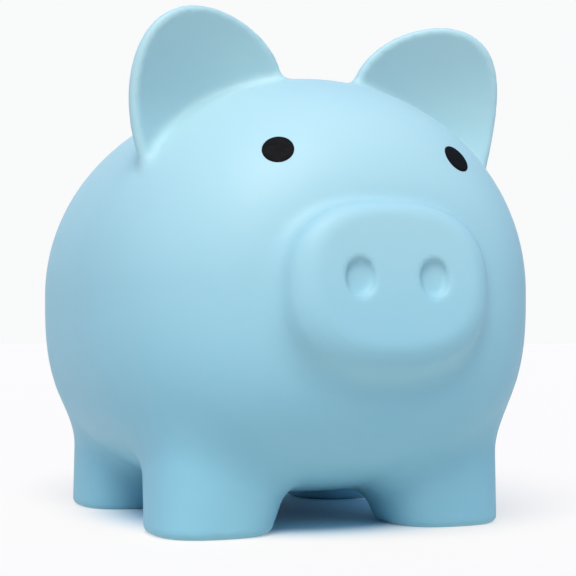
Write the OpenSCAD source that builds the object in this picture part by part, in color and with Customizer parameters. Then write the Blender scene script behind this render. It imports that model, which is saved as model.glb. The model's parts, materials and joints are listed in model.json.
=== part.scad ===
// Standing piggy bank: a hollow soft-vinyl pig with a coin slot in its back,
// two inlaid eyes and a screw plug in its belly.
// Millimetres. The pig stands on z = 0, its nose points to -Y, its left side is +X, and x = 0 is
// its mirror plane.
// The body is a smooth egg. Legs and snout are skins stretched over the field that blends them into it.

/* [Body] */
// Width across the flanks
body_w = 160; // [130:1:200]
// Length from the widest station to the front of the body
body_front = 99; // [85:1:115]
// Length from the widest station to the rump
body_rear = 99.5; // [85:0.5:120]
// Height of the widest level above the belly's lowest point
body_down = 72.5; // [64:0.5:90]
// Height of the back above the widest level
body_up = 77; // [66:0.5:95]
// Height of the belly's lowest point above the floor
belly_lift = 9.5; // [9:0.5:14]
// Roundness power along the length, 2 is an ellipse and more is boxier
length_power = 2.9; // [2.2:0.1:3.2]
// Roundness power of the upper half's cross-section
upper_power = 2.0; // [1.9:0.1:2.4]
// Roundness power of the lower half's cross-section
lower_power = 2.8; // [2.2:0.1:3.2]
// Thickness of the vinyl skin
wall = 3; // [2:0.25:4]

/* [Legs] */
// Sideways place of the front legs, as a share of the body's half-width
front_leg_across = 0.515; // [0.48:0.005:0.55]
// Place of the front legs ahead of the widest station, as a share of the body's front
front_leg_ahead = 0.49; // [0.45:0.005:0.52]
// Sideways place of the rear legs, as a share of the body's half-width
rear_leg_across = 0.538; // [0.5:0.001:0.57]
// Place of the rear legs behind the widest station, as a share of the body's rear
rear_leg_behind = 0.417; // [0.38:0.001:0.46]
// Half-width of a leg across the pig
leg_half_x = 22; // [18:0.5:24]
// Half-width of a leg along the pig
leg_half_y = 22; // [18:0.5:24]
// Roundness power of a leg's cross-section
leg_power = 2.6; // [2:0.1:4]
// How far a leg leans inward for each millimetre of height
leg_lean = 0.2; // [0:0.01:0.22]
// How much wider a leg gets for each millimetre of height, as a share of its width
leg_spread = 0.0085; // [0:0.0005:0.01]
// Fillet between leg and belly
leg_fillet = 7; // [4:0.5:14]
// Rounding around each sole
sole_round = 2.5; // [2:0.5:4]

/* [Snout] */
// How far the snout's face stands ahead of the body's front
snout_reach = 8; // [5:0.5:14]
// Height of the face's centre above the body's widest level
face_rise = 1.5; // [-4:0.5:6]
// Half-width of the face
face_half_w = 32.5; // [26:0.5:38]
// Half-height of the face
face_half_h = 25.3; // [20:0.1:30]
// Roundness power of the face's outline
face_power = 2.5; // [2:0.1:3.5]
// Upward tilt of the face
face_tilt = 3; // [0:0.5:10]
// Growth of the snout for each millimetre towards the body
snout_flare = 0.011; // [0.004:0.001:0.016]
// Droop of the snout's root for each millimetre towards the body
snout_sag = 0.3; // [0:0.05:0.4]
// Rounding around the face
face_round = 5.5; // [3:0.5:8]
// Fillet between snout and body
snout_fillet = 3.5; // [3:0.5:8]
// Half-distance between the nostrils
nostril_x = 12.8; // [10:0.1:15]
// Half-width of a nostril dimple
nostril_half_w = 5; // [3:0.1:6]
// Half-height of a nostril dimple
nostril_half_h = 6; // [3:0.1:7]
// Depth of a nostril dimple
nostril_depth = 2.2; // [1:0.1:2.4]

/* [Ears] */
// Sideways place of an ear's middle, as a share of the body's half-width
ear_across = 0.5875; // [0.54:0.0025:0.62]
// Place of an ear's middle ahead of the widest station, as a share of the body's front
ear_ahead = 0.3733; // [0.33:0.0001:0.44]
// Height of an ear's middle above the widest level, as a share of the body's upper height
ear_high = 0.809; // [0.76:0.001:0.84]
// Half-width of an ear
ear_half_w = 26; // [22:0.5:30]
// Half-height of an ear
ear_half_h = 33.5; // [28:0.5:38]
// Extra width at an ear's top, as a share of its width
ear_spread = 0.44; // [0:0.01:0.5]
// Outward roll of an ear
ear_roll = 21; // [10:1:30]
// Forward lean of an ear
ear_lean = 6; // [0:0.5:15]
// Outward turn of an ear's hollow
ear_turn = 11; // [0:1:20]
// Depth of an ear's hollow at a radius of 10 mm
ear_cup = 0.96; // [0.3:0.02:1.1]
// Half-thickness of an ear at its root
ear_root = 3.0; // [2.4:0.1:4]
// Half-thickness of an ear at its rim
ear_rim = 2.5; // [2:0.1:3.4]

/* [Eyes] */
// Sideways place of an eye, as a share of the body's half-width
eye_across = 0.401; // [0.34:0.001:0.44]
// Height of an eye above the widest level, as a share of the body's upper height
eye_high = 0.558; // [0.5:0.001:0.62]
// Radius of an eye
eye_r = 5.2; // [4:0.1:7]
// Thickness of an eye disc
eye_t = 1.6; // [1.2:0.1:2]
// How far an eye stands proud of the skin
eye_proud = 0.3; // [0.1:0.05:0.5]

/* [Tail] */
// Height of the curl's centre above the widest level, as a share of the body's upper height
tail_high = 0.182; // [0:0.002:0.3]
// Radius of the curl
tail_loop_r = 7.5; // [6:0.5:10]
// Radius of the tail at its root
tail_root_r = 4; // [3:0.25:5]
// Radius of the tail at its tip
tail_tip_r = 2.4; // [1.5:0.1:3]
// Turn of the curl from root to tip
tail_turn = 400; // [300:10:430]
// How far the curl climbs away from the rump
tail_climb = 6; // [3:0.5:9]

/* [Coin slot] */
// Length of the slot
slot_len = 42; // [34:1:50]
// Width of the slot
slot_w = 5; // [4.5:0.1:7]
// Place of the slot's middle behind the widest station, as a share of the body's rear
slot_behind = 0.2; // [0.1:0.01:0.28]

/* [Belly closure] */
// Depth of the belly's pocket above the belly's lowest point
pocket_depth = 4.5; // [4:0.25:6]
// How far the collar's flange reaches past the plug's
flange_margin = 2.2; // [1.5:0.1:3]
// Thickness of the collar's flange
flange_t = 1.8; // [1.4:0.1:2.4]
// Thickness of the collar's neck outside its thread
neck_wall = 2.65; // [2:0.05:3.2]
// Middle radius of the thread
thread_r = 16.2; // [14:0.1:18]
// Height of a thread crest above the middle radius
thread_h = 0.8; // [0.5:0.1:0.9]
// Number of thread starts
thread_starts = 3; // [2:1:4]
// Travel for a full turn of the plug
lead = 24; // [18:1:30]
// Threaded length of the plug
thread_len = 10; // [9:0.5:12]
// Height of the snap ridge that holds the collar in the belly
snap_h = 0.7; // [0.4:0.1:0.9]
// Thickness of the seal
seal_t = 1.2; // [1:0.1:1.6]
// Radial width of the seal
seal_w = 4; // [3:0.25:5]
// Thickness of the plug's flange
plug_flange_t = 1.4; // [1.2:0.1:2]
// Thickness of the plug's top
plug_top_t = 2; // [1.6:0.1:3]
// Thickness of the plug's wall under the thread
plug_wall = 2.6; // [2:0.1:3.2]
// Width of the finger bar
bar_w = 5; // [4:0.25:7]

/* [Fits] */
// Gap between the plug's thread and the collar's
thread_gap = 0.35; // [0.3:0.05:0.5]
// Gap around a piece that is pressed into the skin
seat_gap = 0.2; // [0.1:0.05:0.3]

/* [Hidden] */

skin_blue = "#a5d9ea";
eye_black = "#101012";
collar_blue = "#8cc9de";
seal_grey = "#5d6a70";
plug_blue = "#7fbfd6";

body_z = belly_lift + body_down;
front_leg_x = front_leg_across * body_w / 2;
front_leg_y = front_leg_ahead * body_front;
rear_leg_x = rear_leg_across * body_w / 2;
rear_leg_y = rear_leg_behind * body_rear;
face_front = body_front + snout_reach;
face_z = body_z + face_rise;
ear_x = ear_across * body_w / 2;
ear_y = ear_ahead * body_front;
ear_z = body_z + ear_high * body_up;
eye_x = eye_across * body_w / 2;
eye_z = body_z + eye_high * body_up;
tail_z = body_z + tail_high * body_up;
slot_y = slot_behind * body_rear;
seat_z = belly_lift + pocket_depth;
collar_bottom = seat_z - flange_t;
seal_bottom = collar_bottom - seal_t;
plug_bottom = seal_bottom - plug_flange_t;
plug_top = seal_bottom + thread_len;
collar_top = plug_top + 1;
seal_in_r = thread_r + thread_h + 0.3;
seal_out_r = seal_in_r + seal_w;
plug_flange_r = seal_out_r + 0.5;
flange_r = plug_flange_r + flange_margin;
pocket_r = flange_r + 0.5;
bore_r = thread_r + thread_gap;
neck_r = bore_r + thread_h + neck_wall;
hole_r = neck_r + seat_gap;
tail_y = body_rear - tail_root_r * 0.4;
front_reach = face_front + (face_half_h - face_round) * sin(face_tilt);
rear_reach = tail_y + tail_climb + tail_tip_r;
mid_y = (rear_reach - front_reach) / 2;
steps = 12;
// Depth at which a limb's skin runs on below the body's, so that the two cross cleanly
sink = 0.6;

// ---- Curves and fields -------------------------------------------------------------------

// Smallest of two gaps, rounded over a fillet of about k.
function blend(a, b, k) = min(a, b) - k / 4 * pow(max(0, 1 - abs(a - b) / k), 2);

// Superellipse measure of a point, 1 on the outline.
function measure(a, b, power) = pow(pow(abs(a), power) + pow(abs(b), power), 1 / power);

// Half sizes of the body at the side of it that p lies on.
function half_sizes(p) = [body_w / 2, p.y < 0 ? body_front : body_rear, p.z > body_z ? body_up : body_down];

function section_power(p) = p.z > body_z ? upper_power : lower_power;

// 1 on the body's surface, less inside it.
function body_measure(p) =
    let(h = half_sizes(p))
    measure(measure(p.x / h.x, (p.z - body_z) / h.z, section_power(p)), p.y / h.y, length_power);

// Outward direction of the body's surface, not of unit length.
function body_slope(p, e = 0.05) = [
    body_measure(p + [e, 0, 0]) - body_measure(p - [e, 0, 0]),
    body_measure(p + [0, e, 0]) - body_measure(p - [0, e, 0]),
    body_measure(p + [0, 0, e]) - body_measure(p - [0, 0, e])
] / (2 * e);

// Distance from the body's surface, to first order.
function body_gap(p) = (body_measure(p) - 1) / norm(body_slope(p));

// Distance from the side of a leg whose sole is centred on foot.
function leg_gap(p, foot) =
    let(rise = min(p.z, 50) - belly_lift)
    let(x = p.x - foot.x + leg_lean * rise)
    let(y = p.y - foot.y + sign(foot.y) * leg_lean * 0.4 * rise)
    (measure(x / leg_half_x, y / leg_half_y, leg_power) - 1 - leg_spread * rise) * leg_half_x;

// Point of the snout's frame: x across, v up the face, d into the body.
function snout_point(x, v, d) = [
    x,
    d * cos(face_tilt) + v * sin(face_tilt) - face_front,
    face_z - d * sin(face_tilt) + v * cos(face_tilt)
];

// Distance from the side of the snout, for a point given in the snout's frame.
function snout_gap(x, v, d) =
    let(grow = 1 + snout_flare * d)
    let(up = v + snout_sag * d)
    (measure(x / (face_half_w * grow), up / (face_half_h * grow), face_power) - 1) * face_half_h;

// How far a rounding of radius r pulls the side in at a height of h above a flat end.
function round_inset(h, r) = h >= r ? 0 : r - sqrt(r * r - (r - h) * (r - h));

// ---- Skins -------------------------------------------------------------------------------

// Closed polyhedron over a stack of rings of equal count, with a point at either end.
module skin(first, rings, last) {
    n = len(rings[0]);
    m = len(rings);
    points = concat([first], [for (ring = rings) each ring], [last]);
    start_fan = [for (i = [0 : n - 1]) [0, 1 + i, 1 + (i + 1) % n]];
    sides = [
        for (j = [0 : m - 2], i = [0 : n - 1])
            let(a = 1 + j * n + i, b = 1 + j * n + (i + 1) % n)
            each [[a, a + n, b], [b, a + n, b + n]]
    ];
    end_base = 1 + (m - 1) * n;
    end_fan = [for (i = [0 : n - 1]) [m * n + 1, end_base + (i + 1) % n, end_base + i]];
    polyhedron(points, concat(start_fan, sides, end_fan), convexity = 6);
}

// The egg of the body with its half sizes drawn in by inset.
module egg(inset, ring_count, around) {
    centre = [0, 0, body_z];
    ends = [centre - [0, body_front - inset, 0], centre + [0, body_rear - inset, 0]];
    rings = [
        for (i = [1 : ring_count - 1])
            let(polar = 180 * i / ring_count)
            [
                for (j = [0 : around - 1])
                    let(turn = -360 * j / around)
                    let(dir = [sin(polar) * cos(turn), -cos(polar), sin(polar) * sin(turn)])
                    let(sizes = half_sizes(centre + dir) - [inset, inset, inset])
                    let(power = section_power(centre + dir))
                    let(scale_to = measure(measure(dir.x, dir.z, power), dir.y, length_power))
                    centre + [dir.x * sizes.x, dir.y * sizes.y, dir.z * sizes.z] / scale_to
            ]
    ];
    skin(ends[0], rings, ends[1]);
}

// Radius at which gap(radius) turns positive between low and high, or high when it never does.
function reach(gap, low, high, left) =
    left == 0 ? (low + high) / 2
    : gap((low + high) / 2) > 0 ? reach(gap, low, (low + high) / 2, left - 1)
    : reach(gap, (low + high) / 2, high, left - 1);

// One ring of a leg's skin at height z, drawn in by inset and no wider than cap.
function leg_ring(foot, z, inset, cap, around) =
    let(middle = foot - [leg_lean * (z - belly_lift), 0, 0])
    [
        for (i = [0 : around - 1])
            let(dir = [cos(360 * i / around), sin(360 * i / around)])
            let(at = function(r) [middle.x + dir.x * r, middle.y + dir.y * r, z])
            let(gap = function(r) blend(body_gap(at(r)) + sink, leg_gap(at(r), foot), leg_fillet) + inset)
            at(reach(gap, 6, cap, steps))
    ];

// Skin of one leg, drawn in by inset, from the sole up into the body.
module leg(foot, inset, cap, around) {
    heights = [0, 1, 2.2, 4, 6.5, 8.5, 10.5, 13, 16, 20, 25, 31, 38, 46];
    levels = [for (h = heights) if (h == 0 || h > inset) max(h, inset)];
    drawn = function(z) inset + round_inset(z - inset, sole_round - inset / 2);
    rings = [for (z = levels) leg_ring(foot, z, drawn(z), cap, around)];
    skin([foot.x, foot.y, inset], rings, [foot.x - leg_lean * 30, foot.y, max(heights)]);
}

// One ring of the snout's skin at depth d behind the face.
function snout_ring(d, inset, cap, around) = [
    for (i = [0 : around - 1])
        let(c = cos(-360 * i / around), s = sin(-360 * i / around))
        let(base = function(r) body_gap(snout_point(c * r, s * r, d)) + sink)
        let(gap = function(r) blend(base(r), snout_gap(c * r, s * r, d), snout_fillet) + inset)
        let(r = reach(gap, 8, cap, steps))
        snout_point(c * r, s * r, d)
];

// Skin of the snout, drawn in by inset, from the face back into the body.
module snout(inset, cap, around) {
    depths = [0, 0.5, 1.6, 3.4, 5.5, 8, 11, 14, 17.5, 22, 28];
    levels = [for (d = depths) if (d == 0 || d > inset) max(d, inset)];
    drawn = function(d) inset + round_inset(d - inset, face_round - inset / 2);
    rings = [for (d = levels) snout_ring(d, drawn(d), cap, around)];
    skin(snout_point(0, 0, inset), rings, snout_point(0, 0, max(depths)));
}

// Axes of the left ear: across, up and forward.
ear_flat_u = [cos(ear_turn), -sin(ear_turn), 0];
ear_flat_n = [-sin(ear_turn), -cos(ear_turn), 0];
ear_up = [0, 0, cos(ear_lean)] + sin(ear_lean) * ear_flat_n;
ear_n = [0, 0, -sin(ear_lean)] + cos(ear_lean) * ear_flat_n;
ear_u = cos(ear_roll) * ear_flat_u + sin(ear_roll) * ear_up;
ear_w = cos(ear_roll) * ear_up - sin(ear_roll) * ear_flat_u;

// Point of an ear: u across, w up, and n in front of the cupped middle surface.
function ear_point(u, w, n) =
    [ear_x, -ear_y, ear_z] + u * ear_u + w * ear_w + (n + ear_cup * (u * u + w * w) / 100) * ear_n;

// Half-thickness of an ear at height w.
function ear_half_t(w) = ear_root + (ear_rim - ear_root) * min(max(w / ear_half_h, 0), 1);

// One ring of an ear: share of the outline's radius, then how many half-thicknesses in from the
// outline, and how many in front of the middle surface.
function ear_ring(share, edge, front, around) = [
    for (i = [0 : around - 1])
        let(c = cos(-360 * i / around), s = sin(-360 * i / around))
        let(u = c * ear_half_w * (1 + ear_spread * s), w = s * ear_half_h)
        let(t = ear_half_t(w))
        let(k = share * (1 - edge * t / norm([u, w])))
        ear_point(u * k, w * k, front * t)
];

// Left ear: a cupped leaf of even thickness with a full round rim.
module ear() {
    profile = [
        [0.35, 1, 1], [0.7, 1, 1], [1, 1, 1], [1, 0.29, 0.71], [1, 0, 0],
        [1, 0.29, -0.71], [1, 1, -1], [0.7, 1, -1], [0.35, 1, -1]
    ];
    rings = [for (p = profile) ear_ring(p[0], p[1], p[2], 32)];
    skin(ear_point(0, 0, ear_root), rings, ear_point(0, 0, -ear_root));
}

// Curl of the tail: a tapered tube that winds around and away from the rump.
module tail() {
    count = 22;
    around = 8;
    curl = function(s) tail_turn * s - 90;
    loop = function(s) tail_loop_r * (1 - 0.35 * s);
    middle = function(s)
        [loop(s) * cos(curl(s)), tail_y + tail_climb * s, tail_z + loop(s) * sin(curl(s))];
    rings = [
        for (j = [0 : count])
            let(s = j / count)
            let(r = tail_root_r + (tail_tip_r - tail_root_r) * s)
            let(out = [cos(curl(s)), 0, sin(curl(s))])
            [
                for (i = [0 : around - 1])
                    let(turn = 360 * i / around)
                    middle(s) + r * (cos(turn) * out + [0, sin(turn), 0])
            ]
    ];
    ahead = [-sin(curl(1)), 0, cos(curl(1))];
    skin(middle(0) - [tail_root_r, 0, 0], rings, middle(1) + ahead * tail_tip_r * 0.8);
}

module both_sides() {
    children();
    mirror([1, 0, 0]) children();
}

// ---- Eyes --------------------------------------------------------------------------------

function eye_gap_fn() = function(y) body_measure([eye_x, -y, eye_z]) - 1;
eye_y = -reach(eye_gap_fn(), 0, body_front, 20);
eye_dir = body_slope([eye_x, eye_y, eye_z]) / norm(body_slope([eye_x, eye_y, eye_z]));

// Disc on the left eye's place, from depth below the skin to proud above it.
module eye_disc(r, depth, proud) {
    translate([eye_x, eye_y, eye_z])
        rotate([0, acos(eye_dir.z), atan2(eye_dir.y, eye_dir.x)])
            translate([0, 0, -depth])
                cylinder(h = depth + proud, r = r, $fn = 48);
}

// ---- Thread ------------------------------------------------------------------------------

// Cross-section of the threaded body: one rounded lobe for each start.
module lobes(r) {
    count = 48;
    polygon([
        for (i = [0 : count - 1])
            let(a = 360 * i / count)
            (r + thread_h * cos(thread_starts * a)) * [cos(a), sin(a)]
    ]);
}

// Right-hand thread from z = low to z = high, in phase with every other call.
module threaded(r, low, high) {
    turn = 360 / lead;
    translate([0, 0, low])
        rotate([0, 0, low * turn])
            linear_extrude(
                height = high - low,
                twist = -(high - low) * turn,
                slices = ceil((high - low) * 2),
                convexity = 4
            )
                lobes(r);
}

// ---- Pieces ------------------------------------------------------------------------------

front_foot = [front_leg_x, -front_leg_y];
rear_foot = [rear_leg_x, rear_leg_y];

module outside() {
    egg(0, 26, 44);
    both_sides() leg(front_foot, 0, 38, 28);
    both_sides() leg(rear_foot, 0, 38, 28);
    snout(0, 50, 36);
    both_sides() ear();
    tail();
}

module inside() {
    difference() {
        union() {
            egg(wall, 18, 32);
            both_sides() leg(front_foot, wall, 33, 20);
            both_sides() leg(rear_foot, wall, 33, 20);
            snout(wall, 46, 24);
        }
        cylinder(h = seat_z + wall, r = pocket_r + wall, $fn = 72);
        both_sides() nostril(wall, 16);
    }
}

module slot_cut() {
    top = body_z + body_up + 5;
    bottom = body_z + body_up * 0.6;
    half = (slot_len - slot_w) / 2;
    translate([0, slot_y, bottom]) {
        translate([-slot_w / 2, -half, 0])
            cube([slot_w, 2 * half, top - bottom]);
        for (y = [-half, half])
            translate([0, y, 0])
                cylinder(h = top - bottom, r = slot_w / 2, $fn = 24);
    }
}

// Dimple of a nostril, or with grow the space its wall takes behind it.
module nostril(grow, around) {
    translate(snout_point(nostril_x, 0.5, 0))
        rotate([90 - face_tilt, 0, 0])
            scale([nostril_half_w + grow, nostril_half_h + grow, nostril_depth + grow])
                sphere(r = 1, $fn = around);
}

module body_shell() {
    color(skin_blue)
        translate([0, -mid_y, 0])
            difference() {
                union() outside();
                inside();
                slot_cut();
                both_sides() nostril(0, 20);
                both_sides() eye_disc(eye_r + seat_gap / 2, eye_t - eye_proud, 3);
                translate([0, 0, -1])
                    cylinder(h = seat_z + 1, r = pocket_r, $fn = 72);
                cylinder(h = seat_z + wall + 5, r = hole_r, $fn = 72);
            }
}

module left_eye() {
    color(eye_black)
        translate([0, -mid_y, 0])
            eye_disc(eye_r, eye_t - eye_proud, eye_proud);
}

module right_eye() {
    color(eye_black)
        translate([0, -mid_y, 0])
            mirror([1, 0, 0])
                eye_disc(eye_r, eye_t - eye_proud, eye_proud);
}

module collar() {
    snap_z = seat_z + wall + seat_gap;
    color(collar_blue)
        translate([0, -mid_y, 0])
            difference() {
                union() {
                    translate([0, 0, collar_bottom])
                        cylinder(h = flange_t, r = flange_r, $fn = 96);
                    translate([0, 0, collar_bottom])
                        cylinder(h = collar_top - collar_bottom, r = neck_r, $fn = 96);
                    translate([0, 0, snap_z])
                        cylinder(h = 1.2, r1 = neck_r + snap_h, r2 = neck_r, $fn = 96);
                }
                threaded(bore_r, collar_bottom - 1, collar_top + 1);
            }
}

module stopper_seal() {
    color(seal_grey)
        translate([0, -mid_y, seal_bottom])
            difference() {
                cylinder(h = seal_t, r = seal_out_r, $fn = 96);
                translate([0, 0, -1])
                    cylinder(h = seal_t + 2, r = seal_in_r, $fn = 96);
            }
}

module stopper_plug() {
    recess_r = thread_r - thread_h - plug_wall;
    recess_top = plug_top - plug_top_t;
    color(plug_blue)
        translate([0, -mid_y, 0]) {
            difference() {
                union() {
                    translate([0, 0, plug_bottom])
                        cylinder(h = plug_flange_t, r = plug_flange_r, $fn = 96);
                    threaded(thread_r, seal_bottom, plug_top);
                }
                translate([0, 0, plug_bottom - 1])
                    cylinder(h = recess_top - plug_bottom + 1, r = recess_r, $fn = 72);
            }
            intersection() {
                translate([-recess_r - 1, -bar_w / 2, plug_bottom + 0.3])
                    cube([2 * recess_r + 2, bar_w, recess_top - plug_bottom]);
                translate([0, 0, plug_bottom])
                    cylinder(h = plug_top - plug_bottom, r = recess_r + 0.5, $fn = 72);
            }
        }
}

body_shell();
left_eye();
right_eye();
collar();
stopper_seal();
stopper_plug();
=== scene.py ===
"""Looks of a standing soft-vinyl pig money bank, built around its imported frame."""

import json
import logging
import math
from dataclasses import dataclass, field
from enum import Enum
from typing import Any, Callable

import bpy
import numpy as np
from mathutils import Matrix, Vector


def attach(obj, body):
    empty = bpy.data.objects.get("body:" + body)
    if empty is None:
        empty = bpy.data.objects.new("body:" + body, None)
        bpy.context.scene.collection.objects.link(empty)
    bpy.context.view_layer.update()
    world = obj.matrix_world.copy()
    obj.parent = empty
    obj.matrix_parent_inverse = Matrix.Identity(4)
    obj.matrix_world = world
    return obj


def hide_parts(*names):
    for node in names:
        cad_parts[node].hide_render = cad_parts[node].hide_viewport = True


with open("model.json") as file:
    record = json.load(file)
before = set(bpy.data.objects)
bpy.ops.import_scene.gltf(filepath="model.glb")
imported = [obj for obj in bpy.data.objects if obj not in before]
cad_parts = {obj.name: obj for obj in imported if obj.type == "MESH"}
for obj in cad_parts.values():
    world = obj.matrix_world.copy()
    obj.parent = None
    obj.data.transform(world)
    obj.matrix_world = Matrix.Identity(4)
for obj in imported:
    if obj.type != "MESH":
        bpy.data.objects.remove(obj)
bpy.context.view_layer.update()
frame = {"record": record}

MM = 0.001
log = logging.getLogger("piggy_bank")
Points = np.ndarray
Gap = np.ndarray
Colour = tuple[float, float, float]


# ---- Soft forms: every gap is a signed distance in millimetres, negative inside ----------------


def blend(a: Gap, b: Gap, fillet: float) -> Gap:
    """Joins two forms with a fillet of about the given radius."""
    return np.minimum(a, b) - fillet / 4 * np.maximum(0, 1 - np.abs(a - b) / fillet) ** 2


def carve(a: Gap, tool: Gap, rounding: float) -> Gap:
    """Cuts a tool out of a form and rounds the edge that it leaves."""
    return -blend(-a, tool, rounding)


def measure(a: Gap, b: Gap, power: Any) -> Gap:
    """Superellipse measure of two coordinates, 1 on the outline."""
    return (np.abs(a) ** power + np.abs(b) ** power) ** (1 / power)


def round_off(side: Gap, end: Gap, radius: float) -> Gap:
    """Intersects a side with a flat end over a rounding of the given radius."""
    corner = np.hypot(np.maximum(side + radius, 0), np.maximum(end + radius, 0)) - radius
    outside = (side + radius < 0) | (end + radius < 0)
    return np.where(outside, np.maximum(side, end), corner)


def slope_of(gap: Callable[[Points], Gap], p: Points, step: float) -> Points:
    """Direction and steepness of a gap at each point, by central differences over a step."""
    parts = []
    for axis in np.eye(3) * step:
        parts.append((gap(p + axis) - gap(p - axis)) / (2 * step))
    return np.stack(parts, 1)


@dataclass
class PigForm:
    """The pig's shape in millimetres: y from its widest station, z from the floor, x = 0 its mirror plane."""

    half_w: float = 80.0
    front: float = 99.0
    rear: float = 99.5
    up: float = 77.0
    down: float = 72.5
    lift: float = 9.5
    length_power: float = 2.9
    upper_power: float = 2.0
    lower_power: float = 2.8
    wall: float = 3.0

    front_foot: tuple[float, float] = (41.2, -48.51)
    rear_foot: tuple[float, float] = (43.04, 41.4915)
    leg_half: tuple[float, float] = (22.0, 22.0)
    leg_power: float = 2.6
    leg_lean: float = 0.20
    leg_lean_along: float = 0.4
    leg_spread: float = 0.0085
    leg_fillet: float = 7.0
    leg_even_above: float = 50.0
    leg_top: float = 70.0
    sole_round: float = 2.5

    face_front: float = 107.0
    face_z: float = 83.5
    face_half: tuple[float, float] = (32.5, 25.3)
    face_power: float = 2.5
    face_tilt: float = math.radians(3.0)
    snout_flare: float = 0.011
    snout_sag: float = 0.3
    face_round: float = 5.5
    snout_fillet: float = 3.5
    snout_depth: float = 40.0
    nostril_x: float = 12.8
    nostril_half: tuple[float, float, float] = (5.0, 6.0, 2.3)
    nostril_steep: float = 3.5
    nostril_round: float = 0.9

    ear_at: tuple[float, float, float] = (47.0, -36.96, 144.3)
    ear_half: tuple[float, float] = (26.0, 33.5)
    ear_spread: float = 0.44
    ear_roll: float = math.radians(21.0)
    ear_lean: float = math.radians(6.0)
    ear_turn: float = math.radians(11.0)
    ear_cup: float = 0.0096
    ear_root: float = 3.0
    ear_rim: float = 2.5
    ear_fillet: float = 4.0

    eye_x: float = 32.1
    eye_z: float = 125.0

    tail_z: float = 96.0
    tail_loop: float = 7.5
    tail_shrink: float = 0.35
    tail_root: float = 4.0
    tail_tip: float = 2.4
    tail_turn: float = math.radians(400.0)
    tail_climb: float = 6.0
    tail_fillet: float = 3.0
    tail_steps: int = 40
    tail_far: float = 60.0

    slot_len: float = 42.0
    slot_w: float = 5.0
    slot_y: float = 19.9
    slot_round: float = 1.6
    slot_from: float = 40.0

    seat_z: float = 14.0
    pocket_r: float = 24.5
    hole_r: float = 20.2
    hole_deep: float = 12.0
    belly_round: float = 1.4
    inner_sole_round: float = 1.5
    inner_nostril_round: float = 1.0
    boss_round: float = 2.0

    @property
    def middle_z(self) -> float:
        """Height of the body's widest level."""
        return self.lift + self.down

    def body_gap(self, p: Points) -> Gap:
        """Distance from the egg of the body, to first order.

        Args:
            p: Points in millimetres, one a row.

        Returns:
            The gap at each point.
        """
        x, y, z = p[:, 0], p[:, 1], p[:, 2] - self.middle_z
        half_y = np.where(y < 0, self.front, self.rear)
        half_z = np.where(z > 0, self.up, self.down)
        power = np.where(z > 0, self.upper_power, self.lower_power)
        a, b, c = np.abs(x / self.half_w), np.abs(z / half_z), np.abs(y / half_y)
        ring = a**power + b**power + 1e-12
        long = self.length_power
        reach = (ring ** (long / power) + c**long) ** (1 / long)
        common = reach ** (1 - long)
        spread = common * ring ** (long / power - 1)
        slope_x = spread * a ** (power - 1) / self.half_w
        slope_z = spread * b ** (power - 1) / half_z
        slope_y = common * c ** (long - 1) / half_y
        return (reach - 1) / np.maximum(np.sqrt(slope_x**2 + slope_y**2 + slope_z**2), 1e-5)

    def leg_gap(self, p: Points, foot: tuple[float, float]) -> Gap:
        """Distance from the sides of a mirrored pair of legs.

        Args:
            p: Points in millimetres, one a row.
            foot: Place of the leg's middle at the belly's height, on the +X side.

        Returns:
            The gap at each point.
        """
        rise = np.minimum(p[:, 2], self.leg_even_above) - self.lift
        x = np.abs(p[:, 0]) - foot[0] + self.leg_lean * rise
        y = p[:, 1] - foot[1] + math.copysign(self.leg_lean_along * self.leg_lean, foot[1]) * rise
        side = measure(x / self.leg_half[0], y / self.leg_half[1], self.leg_power)
        return np.maximum((side - 1 - self.leg_spread * rise) * self.leg_half[0], p[:, 2] - self.leg_top)

    def snout_local(self, p: Points) -> tuple[Gap, Gap, Gap]:
        """Coordinates of points across the face, up it, and into the body from it."""
        c, s = math.cos(self.face_tilt), math.sin(self.face_tilt)
        y, z = p[:, 1] + self.face_front, p[:, 2] - self.face_z
        return p[:, 0], y * s + z * c, y * c - z * s

    def snout_gap(self, p: Points) -> Gap:
        """Distance from the flared snout, rounded around its face."""
        x, v, depth = self.snout_local(p)
        grow = 1 + self.snout_flare * np.clip(depth, 0, self.snout_depth)
        v = v + self.snout_sag * np.clip(depth, 0, self.snout_depth)
        side = measure(x / (self.face_half[0] * grow), v / (self.face_half[1] * grow), self.face_power)
        solid = round_off((side - 1) * self.face_half[1], -depth, self.face_round)
        return np.maximum(solid, depth - self.snout_depth)

    def nostril_gap(self, p: Points) -> Gap:
        """Distance from the two dimples in the face."""
        x, v, depth = self.snout_local(p)
        half = self.nostril_half
        x, v, depth = (np.abs(x) - self.nostril_x) / half[0], (v - 0.5) / half[1], depth / half[2]
        power = self.nostril_steep
        ring = np.sqrt(x**2 + v**2) + 1e-6
        reach = (ring**power + np.abs(depth) ** power) ** (1 / power)
        across = (ring / reach) ** (power - 1) * np.sqrt((x / half[0]) ** 2 + (v / half[1]) ** 2) / ring
        inward = (np.abs(depth) / reach) ** (power - 1) / half[2]
        return (reach - 1) / np.maximum(np.sqrt(across**2 + inward**2), 1e-3)

    def ear_local(self, p: Points) -> tuple[Gap, Gap, Gap]:
        """Coordinates of points across an ear, up it, and in front of its flat middle."""
        x, y, z = np.abs(p[:, 0]) - self.ear_at[0], p[:, 1] - self.ear_at[1], p[:, 2] - self.ear_at[2]
        turn_c, turn_s = math.cos(self.ear_turn), math.sin(self.ear_turn)
        lean_c, lean_s = math.cos(self.ear_lean), math.sin(self.ear_lean)
        roll_c, roll_s = math.cos(self.ear_roll), math.sin(self.ear_roll)
        across, ahead = x * turn_c - y * turn_s, -x * turn_s - y * turn_c
        up = z * lean_c + ahead * lean_s
        ahead = ahead * lean_c - z * lean_s
        return across * roll_c + up * roll_s, up * roll_c - across * roll_s, ahead

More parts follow.
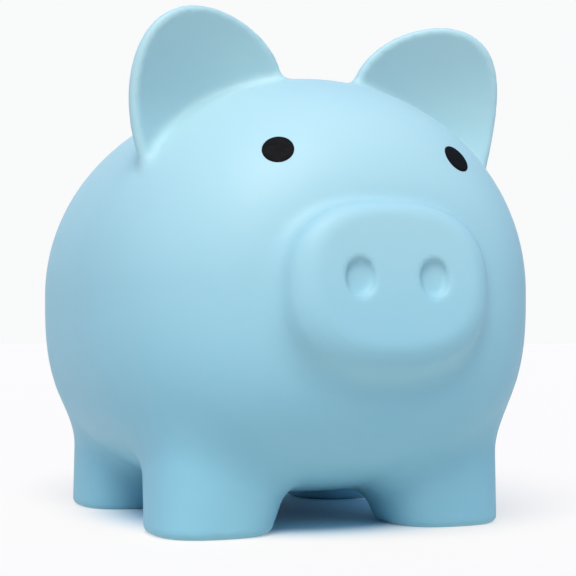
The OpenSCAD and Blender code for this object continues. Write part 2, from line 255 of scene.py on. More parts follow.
    def ear_gap(self, p: Points) -> Gap:
        """Distance from the two cupped ears, each of even thickness with a full round rim."""
        u, w, n = self.ear_local(p)
        share = np.clip(w / self.ear_half[1], 0, 1)
        thick = self.ear_root + (self.ear_rim - self.ear_root) * share
        wide = self.ear_half[0] * np.maximum(1 + self.ear_spread * w / self.ear_half[1], 0.3)
        across, up = u / wide, w / self.ear_half[1]
        reach = np.sqrt(across**2 + up**2) + 1e-9
        slope = np.sqrt((across / wide) ** 2 + (up / self.ear_half[1]) ** 2) / reach
        rim = np.maximum((reach - 1) / np.maximum(slope, 1e-3), -min(self.ear_half))
        n = n - self.ear_cup * (u**2 + w**2)
        tilt = np.sqrt(1 + (2 * self.ear_cup) ** 2 * np.minimum(u**2 + w**2, 1600))
        return np.hypot(np.maximum(rim + thick, 0), n / tilt) - thick

    def tail_gap(self, p: Points) -> Gap:
        """Distance from the tail's tapered curl; far points get a coarse bound."""
        start = self.rear - 0.4 * self.tail_root
        gap = np.full(len(p), self.tail_far)
        reach = self.tail_loop + self.tail_root + 8
        near = (np.abs(p[:, 0]) < reach) & (np.abs(p[:, 2] - self.tail_z) < reach) & (p[:, 1] > start - 14)
        q = p[near]
        s = np.linspace(0, 1, self.tail_steps)
        angle = self.tail_turn * s - math.pi / 2
        loop = self.tail_loop * (1 - self.tail_shrink * s)
        across, up = loop * np.cos(angle), self.tail_z + loop * np.sin(angle)
        path = np.stack([across, start + self.tail_climb * s, up], 1)
        radius = self.tail_root + (self.tail_tip - self.tail_root) * s
        best = np.full(len(q), self.tail_far)
        for a, b, r0, r1 in zip(path[:-1], path[1:], radius[:-1], radius[1:]):
            along = np.clip(((q - a) @ (b - a)) / ((b - a) @ (b - a)), 0, 1)
            off = np.linalg.norm(q - a - along[:, None] * (b - a), axis=1)
            best = np.minimum(best, off - r0 - (r1 - r0) * along)
        gap[near] = best
        return gap

    def trunk_gap(self, p: Points) -> Gap:
        """Distance from the body with its legs and snout, the parts that are hollow inside."""
        legs = np.minimum(self.leg_gap(p, self.front_foot), self.leg_gap(p, self.rear_foot))
        gap = blend(self.body_gap(p), legs, self.leg_fillet)
        return blend(gap, self.snout_gap(p), self.snout_fillet)

    def skin_gap(self, p: Points) -> Gap:
        """Distance from the outside of the casting, before anything is cut into it."""
        gap = blend(self.trunk_gap(p), self.ear_gap(p), self.ear_fillet)
        gap = blend(gap, self.tail_gap(p), self.tail_fillet)
        gap = carve(gap, self.nostril_gap(p), self.nostril_round)
        return round_off(gap, -p[:, 2], self.sole_round)

    def casting_gap(self, p: Points) -> Gap:
        """Distance from the hollow casting with its slot, belly pocket and belly hole."""
        axis = np.hypot(p[:, 0], p[:, 1])
        boss = np.maximum(axis - self.pocket_r - self.wall, p[:, 2] - self.seat_z - self.wall)
        hollow = round_off(self.trunk_gap(p) + self.wall, self.wall - p[:, 2], self.inner_sole_round)
        hollow = carve(hollow, boss, self.boss_round)
        hollow = carve(hollow, self.nostril_gap(p) - self.wall, self.inner_nostril_round)
        gap = np.maximum(self.skin_gap(p), -hollow)
        past = np.maximum(np.abs(p[:, 1] - self.slot_y) - (self.slot_len - self.slot_w) / 2, 0)
        slot = np.maximum(np.hypot(p[:, 0], past) - self.slot_w / 2, self.middle_z + self.slot_from - p[:, 2])
        gap = carve(gap, slot, self.slot_round)
        gap = carve(gap, np.maximum(axis - self.pocket_r, p[:, 2] - self.seat_z), self.belly_round)
        hole = np.maximum(axis - self.hole_r, p[:, 2] - self.seat_z - self.hole_deep)
        return carve(gap, hole, self.belly_round)


@dataclass
class Skinner:
    """Stretches a quad skin over a gap on a regular grid, by naive surface nets."""

    low: tuple[float, float, float]
    high: tuple[float, float, float]
    cell: float = 1.3
    polish: int = 3
    probe: float = 0.02
    block: int = 8
    batch: int = 400000

    def sample(self, gap: Callable[[Points], Gap]) -> tuple[np.ndarray, list[np.ndarray]]:
        """Values of the gap on the grid, worked out only near the skin.

        Args:
            gap: Signed distance of points in millimetres.

        Returns:
            The values, and the grid's coordinates along each axis.
        """
        axes = [np.arange(a, b + self.cell, self.cell) for a, b in zip(self.low, self.high)]
        shape = tuple(len(a) for a in axes)
        block = self.block
        coarse = [a[::block] + 0.5 * block * self.cell for a in axes]
        centres = np.stack(np.meshgrid(*coarse, indexing="ij"), -1)
        rough = gap(centres.reshape(-1, 3)).reshape(centres.shape[:3])
        limit = block * self.cell * 1.5
        rough = rough.repeat(block, 0).repeat(block, 1).repeat(block, 2)
        rough = rough[: shape[0], : shape[1], : shape[2]]
        values = rough.astype(np.float64)
        near = np.argwhere(np.abs(rough) < limit)
        spots = np.stack([axes[k][near[:, k]] for k in range(3)], 1)
        parts = np.array_split(spots, max(1, len(spots) // self.batch))
        found = np.concatenate([gap(part) for part in parts])
        values[near[:, 0], near[:, 1], near[:, 2]] = found
        return values, axes

    def build(self, gap: Callable[[Points], Gap]) -> tuple[Points, np.ndarray]:
        """Finds the skin.

        Args:
            gap: Signed distance of points in millimetres.

        Returns:
            The skin's corners, and its quads as rows of four corner numbers.
        """
        values, axes = self.sample(gap)
        inside = values < 0
        shape = tuple(n - 1 for n in values.shape)
        count = np.zeros(shape, np.int8)
        for dx in (0, 1):
            for dy in (0, 1):
                for dz in (0, 1):
                    count += inside[dx : dx + shape[0], dy : dy + shape[1], dz : dz + shape[2]]
        cells = np.argwhere((count > 0) & (count < 8))
        number = np.full(shape, -1, np.int64)
        number[cells[:, 0], cells[:, 1], cells[:, 2]] = np.arange(len(cells))
        total = np.zeros((len(cells), 3))
        hits = np.zeros(len(cells))
        for axis in range(3):
            others = [k for k in range(3) if k != axis]
            for first in (0, 1):
                for second in (0, 1):
                    base = np.zeros(3, int)
                    base[others[0]], base[others[1]] = first, second
                    tip = base.copy()
                    tip[axis] = 1
                    a = values[tuple((cells + base).T)]
                    b = values[tuple((cells + tip).T)]
                    cross = (a < 0) != (b < 0)
                    share = np.where(cross, a / np.where(cross, a - b, 1), 0)
                    spot = np.tile(base.astype(float), (len(cells), 1))
                    spot[:, axis] = share
                    total += spot * cross[:, None]
                    hits += cross
        local = total / hits[:, None]
        corners = np.stack([axes[k][cells[:, k]] + local[:, k] * self.cell for k in range(3)], 1)
        corners = self.settle(corners, gap)
        return corners, self.quads(inside, number)

    def settle(self, corners: Points, gap: Callable[[Points], Gap]) -> Points:
        """Moves the corners onto the true skin, never further than half a cell in all."""
        start = corners.copy()
        for _ in range(self.polish):
            value = gap(corners)
            slope = slope_of(gap, corners, self.probe)
            steep = np.maximum((slope**2).sum(1), 0.05)
            corners = corners - 0.9 * (value / steep)[:, None] * slope
            moved = corners - start
            far = np.maximum(np.linalg.norm(moved, axis=1) / (0.5 * self.cell), 1)
            corners = start + moved / far[:, None]
        return corners

    def quads(self, inside: np.ndarray, number: np.ndarray) -> np.ndarray:
        """Quads around each grid edge that the skin crosses, wound to face outwards."""
        found = []
        for axis in range(3):
            one, two = (axis + 1) % 3, (axis + 2) % 3
            low = [slice(None)] * 3
            high = [slice(None)] * 3
            low[axis], high[axis] = slice(0, -1), slice(1, None)
            cross = inside[tuple(low)] != inside[tuple(high)]
            spots = np.argwhere(cross)
            spots = spots[(spots[:, one] > 0) & (spots[:, two] > 0)]
            spots = spots[(spots[:, one] < number.shape[one]) & (spots[:, two] < number.shape[two])]
            starts_inside = inside[tuple(spots.T)]
            ring = []
            for back_one, back_two in ((0, 0), (1, 0), (1, 1), (0, 1)):
                cell = spots.copy()
                cell[:, one] -= back_one
                cell[:, two] -= back_two
                ring.append(number[tuple(cell.T)])
            ring = np.stack(ring, 1)
            found.append(np.where(starts_inside[:, None], ring, ring[:, ::-1]))
        return np.concatenate(found)


# ---- Materials ---------------------------------------------------------------------------------


class Signal:
    """A value on its way through a material: one output socket with arithmetic on it."""

    def __init__(self, bench: "Bench", socket: Any) -> None:
        """Wraps a socket of the bench's node tree."""
        self.bench = bench
        self.socket = socket

    def _maths(self, operation: str, first: Any, second: Any) -> "Signal":
        """Adds one Math node over two values or signals."""
        return self.bench.node("ShaderNodeMath", {"operation": operation}, {0: first, 1: second})

    def __add__(self, other: Any) -> "Signal":
        """Adds."""
        return self._maths("ADD", self, other)

    __radd__ = __add__

    def __sub__(self, other: Any) -> "Signal":
        """Subtracts."""
        return self._maths("SUBTRACT", self, other)

    def __rsub__(self, other: Any) -> "Signal":
        """Subtracts this signal from a number."""
        return self._maths("SUBTRACT", other, self)

    def __mul__(self, other: Any) -> "Signal":
        """Multiplies."""
        return self._maths("MULTIPLY", self, other)

    __rmul__ = __mul__

    def ramp(self, low: float, high: float) -> "Signal":
        """Smooth step from 0 at low to 1 at high."""
        settings = {"interpolation_type": "SMOOTHSTEP"}
        return self.bench.node("ShaderNodeMapRange", settings, {0: self, 1: low, 2: high, 3: 0.0, 4: 1.0})


class Bench:
    """Workbench for one material or world: its node tree and the shader at its end."""

    def __init__(self, name: str, world: bpy.types.World | None = None) -> None:
        """Starts an empty material with a Principled shader, or dresses the given world."""
        self.material = world or bpy.data.materials.new(name)
        self.material.use_nodes = True
        self.tree = self.material.node_tree
        self.tree.nodes.clear()
        kinds = ("Background", "OutputWorld") if world else ("BsdfPrincipled", "OutputMaterial")
        self.shader, output = (self.tree.nodes.new("ShaderNode" + kind) for kind in kinds)
        self.tree.links.new(self.shader.outputs[0], output.inputs[0])
        self.place = self.node("ShaderNodeTexCoord", {}, {}, "Generated" if world else "Object")

    def node(self, kind: str, settings: dict[str, Any], inputs: dict[Any, Any], output: Any = 0) -> Signal:
        """Adds a node.

        Args:
            kind: The node's type.
            settings: Its properties, set before its sockets.
            inputs: Values or signals for its sockets, by name or number.
            output: The socket to hand on, by name or number.

        Returns:
            The chosen output as a signal.
        """
        made = self.tree.nodes.new(kind)
        for key, value in settings.items():
            setattr(made, key, value)
        for key, value in inputs.items():
            if isinstance(value, Signal):
                self.tree.links.new(value.socket, made.inputs[key])
            else:
                made.inputs[key].default_value = value
        return Signal(self, made.outputs[output])

    def noise(self, size_mm: float, detail: float = 2.0, rough: float = 0.5, stretch: Any = None) -> Signal:
        """Noise with features of about the given size, from 0 to 1."""
        place = self.place
        if stretch is not None:
            settings = {"operation": "MULTIPLY"}
            place = self.node("ShaderNodeVectorMath", settings, {0: place, 1: stretch})
        inputs = {"Vector": place, "Scale": 1000.0 / size_mm, "Detail": detail, "Roughness": rough}
        return self.node("ShaderNodeTexNoise", {}, inputs, "Fac")

    def axis(self, name: str) -> Signal:
        """One coordinate of the surface point, in metres."""
        return self.node("ShaderNodeSeparateXYZ", {}, {0: self.place}, name)

    def tint(self, share: Any, first: Any, second: Any) -> Signal:
        """Mixes two colours."""
        settings = {"data_type": "RGBA"}
        ends = [c if isinstance(c, Signal) else (*c, 1.0) for c in (first, second)]
        return self.node("ShaderNodeMix", settings, {0: share, 6: ends[0], 7: ends[1]}, 2)

    def bump(self, height: Any, depth_mm: float) -> Signal:
        """Surface relief of the given depth."""
        return self.node("ShaderNodeBump", {}, {"Height": height, "Distance": depth_mm * MM, "Strength": 1.0})

    def finish(self, **sockets: Any) -> bpy.types.Material:
        """Sets the shader's sockets, named with underscores for spaces, and returns the material."""
        for key, value in sockets.items():
            socket = self.shader.inputs[key.replace("_", " ")]
            if isinstance(value, Signal):
                self.tree.links.new(value.socket, socket)
            else:
                is_colour = isinstance(value, tuple) and len(value) == 3
                socket.default_value = (*value, 1.0) if is_colour else value
        return self.material


@dataclass(frozen=True)
class SoftVinyl:
    """Matte moulded vinyl: a soft grain, faint clouding of the pigment, a broad, dull sheen, and a painted
    top light that turns the colour paler towards the top.
    """

    name: str = "soft_vinyl_blue"
    colour: Colour = (0.222, 0.48, 0.59)
    deep: Colour = (0.20, 0.46, 0.575)
    pale: Colour = (0.26, 0.51, 0.615)
    # Painted top light: a paler, whiter colour blended in with height, between the two heights below.
    painted_top_light: Colour = (0.425, 0.635, 0.675)
    top_light_from_mm: float = 15.0
    top_light_full_mm: float = 170.0
    roughness: float = 0.47
    grain_mm: float = 0.55
    grain_depth_mm: float = 0.012
    ripple_mm: float = 9.0
    ripple_depth_mm: float = 0.05

    def make(self) -> bpy.types.Material:
        """Builds the material."""
        bench = Bench(self.name)
        cloud = bench.noise(38.0, 3.0, 0.55)
        fleck = bench.noise(4.0, 3.0, 0.6)
        colour = bench.tint(cloud.ramp(0.42, 0.72) * 0.35, self.colour, self.deep)
        colour = bench.tint(fleck.ramp(0.5, 0.8) * 0.16, colour, self.pale)
        # Painted top light: the colour grows paler and whiter with height, standing in for light falling from
        # above.
        height = bench.axis("Z").ramp(self.top_light_from_mm * MM, self.top_light_full_mm * MM)
        colour = bench.tint(height * 0.9, colour, self.painted_top_light)
        grain = bench.noise(self.grain_mm, 2.0, 0.5)
        ripple = bench.noise(self.ripple_mm, 1.0, 0.4)
        relief = grain * self.grain_depth_mm + ripple * self.ripple_depth_mm
        roughness = self.roughness + (fleck - 0.5) * 0.12 + (cloud - 0.5) * 0.08
        return bench.finish(
            Base_Color=colour,
            Roughness=roughness,
            Normal=bench.bump(relief, 1.0),
            Subsurface_Weight=0.10,
            Subsurface_Radius=Vector((0.5, 0.8, 1.0)),
            Subsurface_Scale=2.0 * MM,
            Specular_IOR_Level=0.22,
        )


@dataclass(frozen=True)
class EyeInlay:
    """Flat black vinyl of an eye, with a fine grain and faint, slightly greyer clouding."""

    name: str = "eye_inlay_black"
    colour: Colour = (0.003, 0.003, 0.0035)
    worn: Colour = (0.007, 0.007, 0.008)
    roughness: float = 0.75

    def make(self) -> bpy.types.Material:
        """Builds the material."""
        bench = Bench(self.name)
        cloud = bench.noise(2.5, 3.0, 0.6)
        grain = bench.noise(0.35, 2.0)
        return bench.finish(
            Base_Color=bench.tint(cloud.ramp(0.4, 0.75), self.colour, self.worn),
            Roughness=self.roughness + (grain - 0.5) * 0.2,
            Normal=bench.bump(grain, 0.01),
            Specular_IOR_Level=0.1,
        )


@dataclass(frozen=True)
class MouldedPlastic:
    """Satin injection-moulded plastic: faint flow lines, a spark-eroded grain and rubbed spots scattered by
    noise.
    """

    name: str
    colour: Colour
    rubbed: Colour
    roughness: float = 0.36

    def make(self) -> bpy.types.Material:
        """Builds the material."""
        bench = Bench(self.name)
        flow = bench.noise(3.0, 2.0, 0.5, stretch=(1.0, 1.0, 0.25))
        grain = bench.noise(0.3, 2.0)
        wear = bench.noise(6.0, 4.0, 0.65).ramp(0.52, 0.7)
        return bench.finish(
            Base_Color=bench.tint(wear * 0.5, self.colour, self.rubbed),
            Roughness=self.roughness + (flow - 0.5) * 0.1 + wear * 0.08,
            Normal=bench.bump(grain * 0.008 + flow * 0.02, 1.0),
            Specular_IOR_Level=0.5,
        )


@dataclass(frozen=True)
class SealRubber:
    """Soft grey seal rubber: matte, slightly dusty, with the fine print of its mould."""

    name: str = "seal_rubber_grey"
    colour: Colour = (0.085, 0.105, 0.12)
    dust: Colour = (0.20, 0.22, 0.235)

    def make(self) -> bpy.types.Material:
        """Builds the material."""
        bench = Bench(self.name)
        dust = bench.noise(1.6, 4.0, 0.65)
        grain = bench.noise(0.25, 2.0)
        return bench.finish(
            Base_Color=bench.tint(dust.ramp(0.48, 0.8) * 0.6, self.colour, self.dust),
            Roughness=0.78 + (grain - 0.5) * 0.15,
            Normal=bench.bump(grain, 0.015),
            Specular_IOR_Level=0.35,
        )


@dataclass(frozen=True)
class PalePaper:
    """Seamless white floor that glows away from the pig, with a blue painted shadow under the pig where it
    does not glow.
    """

    name: str = "backdrop_paper"
    colour: Colour = (0.34, 0.31, 0.285)
    # Blue of the painted shadow under the pig.
    painted_shadow: Colour = (0.70, 0.87, 0.96)
    tooth: float = 0.03
    glow: float = 0.59
    reach_x_mm: float = 62.0
    reach_y_mm: float = 68.0
    glow_from: float = 0.75
    glow_full: float = 1.25

    def make(self) -> bpy.types.Material:
        """Builds the material."""
        bench = Bench(self.name)
        # Painted shadow: inside an ellipse about the pig's feet the floor takes the blue painted-shadow
        # colour and no glow; outside it the floor glows white, a glow that stands in for light.
        reach = (1.0 / (self.reach_x_mm * MM), 1.0 / (self.reach_y_mm * MM), 0.0)
        place = bench.node("ShaderNodeVectorMath", {"operation": "MULTIPLY"}, {0: bench.place, 1: reach})
        away = bench.node("ShaderNodeVectorMath", {"operation": "LENGTH"}, {0: place}, "Value")
        share = away.ramp(self.glow_from, self.glow_full)
        grain = (bench.noise(120.0, 2.0) - 0.5) * self.tooth
        return bench.finish(
            Base_Color=bench.tint(share, self.painted_shadow, self.colour),
            Roughness=grain + 0.9,
            Specular_IOR_Level=0.1,
            Emission_Color=bench.tint(share, (0.0, 0.0, 0.0), (1.0, 1.0, 1.0)),
            Emission_Strength=self.glow,
        )


# ---- Pieces ------------------------------------------------------------------------------------


class Body(Enum):
    """The moving bodies that pieces ride on."""

    PIG = "pig"
    SEAL = "seal"
    PLUG = "plug"


def make_piece(
    name: str, corners: Points, faces: Any, shift_y: float, material: bpy.types.Material
) -> bpy.types.Object:
    """Makes a smooth-shaded mesh piece.

    Args:
        name: The piece's name.
        corners: Its corners in millimetres, in the pig's own frame.
        faces: Corner numbers of each face.
        shift_y: Millimetres from the pig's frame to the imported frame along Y.
        material: Its finish.

    Returns:
        The new object, linked to the scene.
    """
    mesh = bpy.data.meshes.new(name)
    placed = (corners + np.array([0, shift_y, 0])) * MM
    mesh.from_pydata(placed.tolist(), [], [list(map(int, face)) for face in faces])
    mesh.validate()
    mesh.shade_smooth()
    mesh.materials.append(material)
    piece = bpy.data.objects.new(name, mesh)
    bpy.context.scene.collection.objects.link(piece)
    return piece


def hand_over(piece: bpy.types.Object, body: Body, slot: str, *nodes: str) -> None:
    """Rides a piece on its body, hides the imported nodes that it stands for, and reports it."""
    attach(piece, body.value)
    if nodes:
        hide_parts(*nodes)
    log.info("%s rides on %s", piece.name, body.value)


@dataclass
class Casting:
    """The one-piece vinyl casting: body, legs, snout, ears, tail, slot and belly hole."""

    form: PigForm
    shift_y: float
    finish: SoftVinyl = field(default_factory=SoftVinyl)
    cell: float = 1.3
    quick_cell: float = 2.0
    low_margin: tuple[float, float, float] = (2.37, 4.41, 1.13)
    high_margin: tuple[float, float, float] = (3.0, 12.0, 4.0)

    def build(self) -> bpy.types.Object:
        """Stretches the skin and dresses it."""
        form = self.form
        cell = self.cell
        side, ahead, beneath = self.low_margin
        beside, behind, above = self.high_margin
        low = (-form.half_w - side, -form.face_front - ahead, -beneath)
        high = (form.half_w + beside, form.rear + behind, form.ear_at[2] + form.ear_half[1] + above)
        skinner = Skinner(low, high, cell)
        corners, quads = skinner.build(form.casting_gap)
        corners[:, 2] = np.maximum(corners[:, 2], 0)
        piece = make_piece("casting", corners, quads, self.shift_y, self.finish.make())
        hand_over(piece, Body.PIG, "blue_vinyl", "body_shell")
        log.info("casting has %d quads", len(quads))
        return piece


@dataclass
class Eye:
    """A thin black disc that follows the skin and stands a little proud of it."""

    form: PigForm
    shift_y: float
    side: int
    name: str
    radius: float = 5.2
    proud: float = 0.3
    depth: float = 0.9
    rounding: float = 0.35
    probe: float = 0.05
    rings: int = 10
    edge_steps: int = 5
    around: int = 72

    def build(self, material: bpy.types.Material) -> bpy.types.Object:
        """Builds the disc on the +X or -X side and dresses it.

        Args:
            material: The eye's finish.

        Returns:
            The new object.
        """
        form = self.form
        centre = self.on_skin(np.array([[self.side * form.eye_x, -form.front * 0.8, form.eye_z]]))
        out = slope_of(form.body_gap, centre, self.probe)[0]
        out /= np.linalg.norm(out)
        level = np.cross((0, 0, 1), out)
        level /= np.linalg.norm(level)
        upright = np.cross(out, level)
        profile = self.profile()
        turn = np.linspace(0, 2 * math.pi, self.around, endpoint=False)
        rows = []
        for reach, lift in profile:
            spots = centre[0] + reach * (np.cos(turn)[:, None] * level + np.sin(turn)[:, None] * upright)
            gap = form.body_gap(spots)
            rows.append(spots + (lift - gap)[:, None] * out)
        corners = np.concatenate(rows + [rows[0].mean(0)[None], rows[-1].mean(0)[None]])
        faces = []
        for row in range(len(profile) - 1):
            for k in range(self.around):
                a, b = row * self.around + k, row * self.around + (k + 1) % self.around
                faces.append((a, a + self.around, b + self.around, b))
        top, base = len(corners) - 2, len(corners) - 1
        last = (len(profile) - 1) * self.around
        for k in range(self.around):
            faces.append((top, k, (k + 1) % self.around))
            faces.append((base, last + (k + 1) % self.around, last + k))
        piece = make_piece(self.name, corners, faces, self.shift_y, material)
        hand_over(piece, Body.PIG, "black_vinyl", self.name.replace("_inlay", ""))
        return piece

    def on_skin(self, spots: Points) -> Points:
        """Moves points along Y onto the body's surface."""
        low, high = spots.copy(), spots.copy()
        low[:, 1], high[:, 1] = -self.form.front * 1.2, 0
        for _ in range(40):
            middle = (low + high) / 2
            outside = self.form.body_gap(middle) > 0
            low[outside], high[~outside] = middle[outside], middle[~outside]
        return (low + high) / 2

    def profile(self) -> list[tuple[float, float]]:
        """Radius and lift of each ring, from the crown over a rounded edge down into the pocket."""
        rounding = self.rounding
        crown = [(self.radius * k / self.rings, self.proud) for k in range(1, self.rings)]
        crown = [pair for pair in crown if pair[0] < self.radius - rounding]
        edge = []
        for step in range(self.edge_steps):
            angle = math.pi / 2 * step / (self.edge_steps - 1)
            reach = self.radius - rounding * (1 - math.sin(angle))
            edge.append((reach, self.proud - rounding * (1 - math.cos(angle))))
        return crown + edge + [(self.radius, -self.depth)]


@dataclass
class Closure:
    """The belly's screw closure: a snapped-in collar, a seal ring and a plug with a finger bar."""

    form: PigForm
    shift_y: float
    flange_r: float = 24.0
    flange_t: float = 1.8
    neck_r: float = 20.0
    snap_h: float = 0.7
    snap_lift: float = 0.8
    snap_bury: float = 0.3
    thread_r: float = 16.2
    thread_h: float = 0.8
    thread_gap: float = 0.35
    starts: int = 3
    lead: float = 24.0
    thread_len: float = 10.0
    thread_steep: float = 0.85
    seal_t: float = 1.2
    seal_r: tuple[float, float] = (17.3, 21.3)
    plug_flange_r: float = 21.8
    plug_flange_t: float = 1.4
    plug_top_t: float = 2.0
    plug_wall: float = 2.6
    bar_w: float = 5.0
    edge: float = 0.35
    cell: float = 0.5
    margin: tuple[float, float, float] = (1.07, 1.03, 2.2)

    @property
    def collar_z(self) -> float:
        """Height of the collar's lower face."""
        return self.form.seat_z - self.flange_t

    @property
    def seal_z(self) -> float:
        """Height of the seal's lower face."""
        return self.collar_z - self.seal_t

    @property
    def plug_z(self) -> float:
        """Height of the plug's lower face."""
        return self.seal_z - self.plug_flange_t

    @property
    def plug_top(self) -> float:
        """Height of the plug's closed end."""
        return self.seal_z + self.thread_len

    def disc(self, p: Points, radius: Any, low: float, high: float, rounding: float) -> Gap:
        """Distance from an upright disc or column with rounded edges."""
        end = np.abs(p[:, 2] - (low + high) / 2) - (high - low) / 2
        return round_off(np.hypot(p[:, 0], p[:, 1]) - radius, end, rounding)

    def thread(self, p: Points, middle: float) -> Gap:
        """Radius of a thread's surface at each point's angle and height."""
        turn = np.arctan2(p[:, 1], p[:, 0]) - 2 * math.pi * p[:, 2] / self.lead
        return middle + self.thread_h * np.cos(self.starts * turn)

    def collar_gap(self, p: Points) -> Gap:
        """Distance from the collar."""
        top = self.plug_top + 1
        flange = self.disc(p, self.flange_r, self.collar_z, self.collar_z + self.flange_t, self.edge)
        neck = self.disc(p, self.neck_r, self.collar_z, top, self.edge)
        axis = np.hypot(p[:, 0], p[:, 1])
        ridge_z = self.form.seat_z + self.form.wall + self.snap_lift
        ridge = np.hypot(axis - self.neck_r + self.snap_bury, p[:, 2] - ridge_z)
        ridge = ridge - self.snap_bury - self.snap_h
        solid = blend(blend(flange, neck, 0.8), ridge, 0.6)
        bore = axis - self.thread(p, self.thread_r + self.thread_gap)
        return carve(solid, bore * self.thread_steep, self.edge * 2)

    def seal_gap(self, p: Points) -> Gap:
        """Distance from the seal ring, rounded like a moulded gasket."""
        middle, half = sum(self.seal_r) / 2, (self.seal_r[1] - self.seal_r[0]) / 2
        side = np.abs(np.hypot(p[:, 0], p[:, 1]) - middle) - half
        end = np.abs(p[:, 2] - self.seal_z - self.seal_t / 2) - self.seal_t / 2
        return round_off(side, end, self.edge)

    def plug_gap(self, p: Points) -> Gap:
        """Distance from the threaded plug, hollow from below with a bar across."""
        flange = self.disc(p, self.plug_flange_r, self.plug_z, self.seal_z, self.edge * 1.6)
        column = self.disc(p, self.thread(p, self.thread_r), self.plug_z + 0.5, self.plug_top, 0.6)
        column = column * self.thread_steep
        recess_r, recess_top = self.thread_r - self.thread_h - self.plug_wall, self.plug_top - self.plug_top_t
        recess = self.disc(p, recess_r, self.plug_z - 5, recess_top, 1.2)
        solid = carve(blend(flange, column, 0.5), recess, self.edge * 2)
        ends = np.maximum(np.hypot(p[:, 0], p[:, 1]) - recess_r - 1, p[:, 2] - recess_top - 1)
        bar = np.maximum(round_off(np.abs(p[:, 1]) - self.bar_w / 2, self.plug_z + 0.3 - p[:, 2], 0.9), ends)
        return blend(solid, bar, 1.2)

    def build(self) -> list[bpy.types.Object]:
        """Builds and dresses the three pieces."""
        blue = MouldedPlastic("moulded_plastic_collar", (0.27, 0.56, 0.71), (0.36, 0.63, 0.76))
        deep = MouldedPlastic("moulded_plastic_plug", (0.22, 0.50, 0.66), (0.32, 0.58, 0.72), 0.33)
        plans = (
            ("collar_ring", "collar", self.collar_gap, Body.PIG, "collar_plastic", blue),
            ("seal_ring", "stopper_seal", self.seal_gap, Body.SEAL, "seal_rubber", SealRubber()),
            ("screw_plug", "stopper_plug", self.plug_gap, Body.PLUG, "plug_plastic", deep),
        )
        pieces = []
        aside, beneath, above = self.margin
        reach = self.flange_r + aside
        low = (-reach, -reach, self.plug_z - beneath)
        high = (reach, reach, self.plug_top + above)
        for name, node, gap, body, slot, finish in plans:
            skinner = Skinner(low, high, self.cell)
            corners, quads = skinner.build(gap)
            piece = make_piece(name, corners, quads, self.shift_y, finish.make())
            hand_over(piece, body, slot, node)
            pieces.append(piece)
        return pieces


# ---- Studio ------------------------------------------------------------------------------------


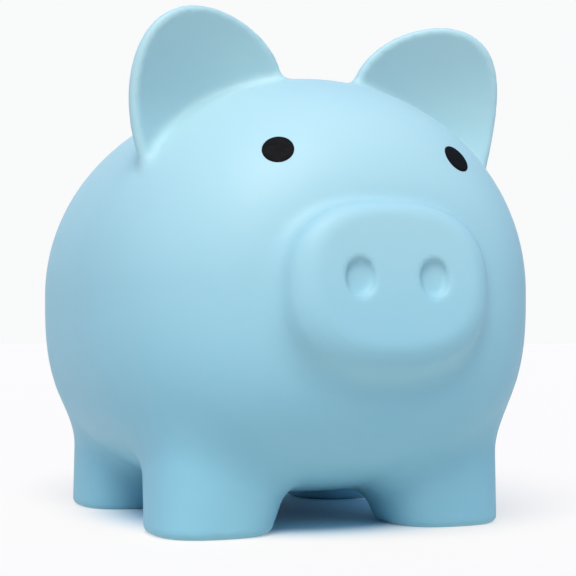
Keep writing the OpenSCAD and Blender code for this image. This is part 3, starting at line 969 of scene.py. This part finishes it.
@dataclass
class Studio:
    """White floor, one broad sun, the room's light and the camera, in metres."""

    shift_y: float
    eye: tuple[float, float, float] = (-0.1996, -0.50455, 0.0655)
    sight: tuple[float, float, float] = (0.37783, 0.9253, 0.0342)
    lens_mm: float = 89.3
    floor_r: float = 14.0
    floor_rings: int = 12
    floor_around: int = 64
    dim: Colour = (0.36, 0.45, 0.56)
    zenith: Colour = (0.12, 0.30, 0.60)
    bright: Colour = (0.95, 0.955, 0.96)
    sun: float = 3.5
    sun_colour: Colour = (1.0, 0.90, 0.79)
    sun_from: tuple[float, float, float] = (-0.28, -0.50, 0.82)
    sun_width: float = math.radians(36.0)

    def floor(self) -> None:
        """Lays a round white floor, with finer rings near the pig."""
        steps = range(1, self.floor_rings + 1)
        radii = [self.floor_r * (step / self.floor_rings) ** 2 for step in steps]
        around = self.floor_around
        corners = [(0.0, 0.0, 0.0)]
        for radius in radii:
            for step in range(around):
                turn = 2 * math.pi * step / around
                corners.append((radius * math.cos(turn), radius * math.sin(turn), 0.0))
        faces = [(0, 1 + k, 1 + (k + 1) % around) for k in range(around)]
        for row in range(len(radii) - 1):
            for k in range(around):
                a, b = 1 + row * around + k, 1 + row * around + (k + 1) % around
                faces.append((a, a + around, b + around, b))
        mesh = bpy.data.meshes.new("floor")
        mesh.from_pydata(corners, [], faces)
        mesh.materials.append(PalePaper().make())
        sheet = bpy.data.objects.new("floor", mesh)
        bpy.context.scene.collection.objects.link(sheet)

    def key(self) -> None:
        """Hangs the broad key light high in front."""
        light = bpy.data.lights.new("key", "SUN")
        light.energy = self.sun
        light.angle = self.sun_width
        light.color = self.sun_colour
        lamp = bpy.data.objects.new("key", light)
        lamp.location = self.sun_from
        lamp.rotation_euler = (-Vector(self.sun_from)).to_track_quat("-Z", "Y").to_euler()
        bpy.context.scene.collection.objects.link(lamp)

    def air(self) -> None:
        """Fills the room with light: white beyond the pig, greyer round about, bluer overhead."""
        world = bpy.data.worlds.new("room")
        bench = Bench("room", world)
        height = bench.node("ShaderNodeSeparateXYZ", {}, {0: bench.place}, "Z")
        ahead = Vector((self.sight[0], self.sight[1], 0.0)).normalized()
        settings = {"operation": "DOT_PRODUCT"}
        facing = bench.node("ShaderNodeVectorMath", settings, {0: bench.place, 1: ahead}, "Value")
        colour = bench.tint(height.ramp(0.1, 0.6), self.dim, self.zenith)
        colour = bench.tint(facing.ramp(0.80, 0.93), colour, self.bright)
        bench.finish(Color=colour, Strength=1.0)
        bpy.context.scene.world = world

    def camera(self) -> None:
        """Places the camera."""
        lens = bpy.data.cameras.new("camera")
        lens.lens = self.lens_mm
        lens.sensor_width = 36.0
        camera = bpy.data.objects.new("camera", lens)
        camera.location = Vector(self.eye) + Vector((0, self.shift_y * MM, 0))
        camera.rotation_euler = Vector(self.sight).to_track_quat("-Z", "Y").to_euler()
        bpy.context.scene.collection.objects.link(camera)
        bpy.context.scene.camera = camera

    def build(self) -> None:
        """Sets up everything around the pig."""
        self.camera()
        self.floor()
        self.key()
        self.air()
        bpy.context.scene.view_settings.view_transform = "Standard"


def main() -> None:
    """Builds the pig's pieces in order, then the studio."""
    logging.basicConfig(level=logging.INFO, format="%(message)s")
    form = PigForm()
    foot = next(m for m in frame["record"]["mounts"] if m["name"] == "foot_front_left")
    shift_y = foot["pos_m"][1] / MM - form.front_foot[1]
    log.info("frame lies %.3f mm behind the pig's own", shift_y)
    Casting(form, shift_y).build()
    black = EyeInlay().make()
    Eye(form, shift_y, 1, "left_eye_inlay").build(black)
    Eye(form, shift_y, -1, "right_eye_inlay").build(black)
    Closure(form, shift_y).build()
    Studio(shift_y).build()


if __name__ == "__main__":
    main()
